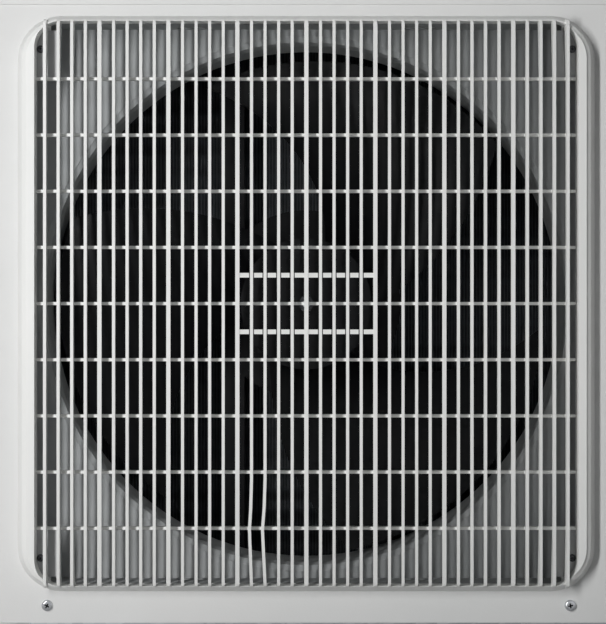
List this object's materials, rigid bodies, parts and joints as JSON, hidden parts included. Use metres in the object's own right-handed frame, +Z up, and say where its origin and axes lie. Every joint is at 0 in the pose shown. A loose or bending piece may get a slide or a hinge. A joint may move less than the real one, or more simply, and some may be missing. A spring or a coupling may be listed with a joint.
{
  "type": "multi-split outdoor unit",
  "caption": "Outdoor condensing unit with a barred fan guard, axial fan, bent coil, inverter compressor and service valves for several rooms.",
  "frame": {"origin": "centre of the anchor bolt pattern, on the plane that the feet stand on", "axes": "+X to the right seen from the front, +Y towards the back (the air outlet and its guard face -Y), +Z up"},
  "size_m": [0.9405, 0.396, 0.695],
  "materials": {
    "cabinet_paint": "satin powder coat",
    "guard_plastic": "satin moulded plastic",
    "shroud_paint": "satin grey paint",
    "black_screw": "black zinc",
    "chrome_screw": "bright plated",
    "zinc_screw": "zinc plated",
    "galvanised_steel": "galvanised",
    "cover_plastic": "fine moulded grain",
    "fin_aluminium": "coated fins",
    "cast_aluminium": "extruded",
    "copper": null,
    "brass": "turned",
    "motor_moulding": "moulded resin",
    "fan_plastic": "glass-filled plastic",
    "bright_steel": "turned",
    "compressor_paint": "black enamel",
    "black_enamel": "satin black enamel",
    "black_rubber": "moulded",
    "black_plastic": "moulded",
    "board_green": "circuit board",
    "core_steel": "varnished core",
    "guard_wire": "plastic-coated wire"
  },
  "bodies": {
    "cabinet": {"accumulator": "compressor_paint", "base_pan": "galvanised_steel", "cable_clamp": "black_plastic", "coil_end_plates": "galvanised_steel", "coil_fins": "fin_aluminium", "coil_pipes": "copper", "compressor": "compressor_paint", "compressor_bolts": "zinc_screw", "compressor_grommets": "black_rubber", "control_board": "board_green", "control_box": "galvanised_steel", "corner_post": "cabinet_paint", "discharge_pipe": "copper", "expansion_coils": "black_plastic", "expansion_valves": "brass", "fan_guard": "guard_plastic", "fan_motor": "motor_moulding", "fan_shroud": "shroud_paint", "flare_nuts": "brass", "front_panel": "cabinet_paint", "front_panel_screws": "chrome_screw", "gas_manifold": "copper", "gas_valves": "brass", "guard_screws": "black_screw", "heat_sink": "cast_aluminium", "left_foot": "galvanised_steel", "liquid_pipes": "copper", "liquid_valves": "brass", "motor_bracket": "black_enamel", "motor_screws": "zinc_screw", "partition": "galvanised_steel", "reactor": "core_steel", "rear_guard": "guard_wire", "return_bends": "copper", "reversing_coil": "black_plastic", "reversing_valve": "brass", "right_foot": "galvanised_steel", "side_guard": "guard_wire", "side_panel": "cabinet_paint", "suction_pipes": "copper", "terminal_blocks": "black_plastic", "terminal_cover": "black_plastic", "terminal_plate": "galvanised_steel", "terminal_screws": "zinc_screw", "valve_plate": "galvanised_steel"},
    "fan_rotor": {"fan": "fan_plastic", "motor_shaft": "bright_steel", "fan_nut": "bright_steel"},
    "service_cover": {"service_panel": "cabinet_paint", "service_screws": "chrome_screw"},
    "valve_cover": {"valve_cover": "cover_plastic"},
    "lid": {"top_panel": "cabinet_paint"},
    "gas_caps": {"gas_valve_caps": "brass"},
    "liquid_caps": {"liquid_valve_caps": "brass"},
    "gas_spindle_1": {"gas_spindle_1": "brass"},
    "gas_spindle_2": {"gas_spindle_2": "brass"},
    "gas_spindle_3": {"gas_spindle_3": "brass"},
    "liquid_spindle_1": {"liquid_spindle_1": "brass"},
    "liquid_spindle_2": {"liquid_spindle_2": "brass"},
    "liquid_spindle_3": {"liquid_spindle_3": "brass"}
  },
  "joints": [
    {"name": "fan_spin", "type": "hinge", "parent": "cabinet", "child": "fan_rotor", "pos_m": [-0.1025, -0.06, 0.365], "axis": [0, -1, 0], "continuous": true},
    {"name": "service_panel_off", "type": "slide", "parent": "cabinet", "child": "service_cover", "axis": [0, -1, 0], "range_m": [0, 0.16]},
    {"name": "valve_cover_off", "type": "slide", "parent": "cabinet", "child": "valve_cover", "axis": [1, 0, 0], "range_m": [0, 0.12]},
    {"name": "lid_off", "type": "slide", "parent": "cabinet", "child": "lid", "axis": [0, 0, 1], "range_m": [0, 0.15]},
    {"name": "gas_caps_off", "type": "slide", "parent": "cabinet", "child": "gas_caps", "axis": [1, 0, 0], "range_m": [0, 0.018]},
    {"name": "liquid_caps_off", "type": "slide", "parent": "cabinet", "child": "liquid_caps", "axis": [1, 0, 0], "range_m": [0, 0.018]},
    {"name": "gas_spindle_1_turn", "type": "hinge", "parent": "cabinet", "child": "gas_spindle_1", "pos_m": [0.4575, 0.066, 0.088], "axis": [1, 0, 0], "range_deg": [0, 1440]},
    {"name": "gas_spindle_2_turn", "type": "hinge", "parent": "cabinet", "child": "gas_spindle_2", "pos_m": [0.4575, 0.066, 0.15], "axis": [1, 0, 0], "range_deg": [0, 1440]},
    {"name": "gas_spindle_3_turn", "type": "hinge", "parent": "cabinet", "child": "gas_spindle_3", "pos_m": [0.4575, 0.066, 0.212], "axis": [1, 0, 0], "range_deg": [0, 1440]},
    {"name": "liquid_spindle_1_turn", "type": "hinge", "parent": "cabinet", "child": "liquid_spindle_1", "pos_m": [0.4575, 0.008, 0.088], "axis": [1, 0, 0], "range_deg": [0, 1440]},
    {"name": "liquid_spindle_2_turn", "type": "hinge", "parent": "cabinet", "child": "liquid_spindle_2", "pos_m": [0.4575, 0.008, 0.15], "axis": [1, 0, 0], "range_deg": [0, 1440]},
    {"name": "liquid_spindle_3_turn", "type": "hinge", "parent": "cabinet", "child": "liquid_spindle_3", "pos_m": [0.4575, 0.008, 0.212], "axis": [1, 0, 0], "range_deg": [0, 1440]}
  ]
}
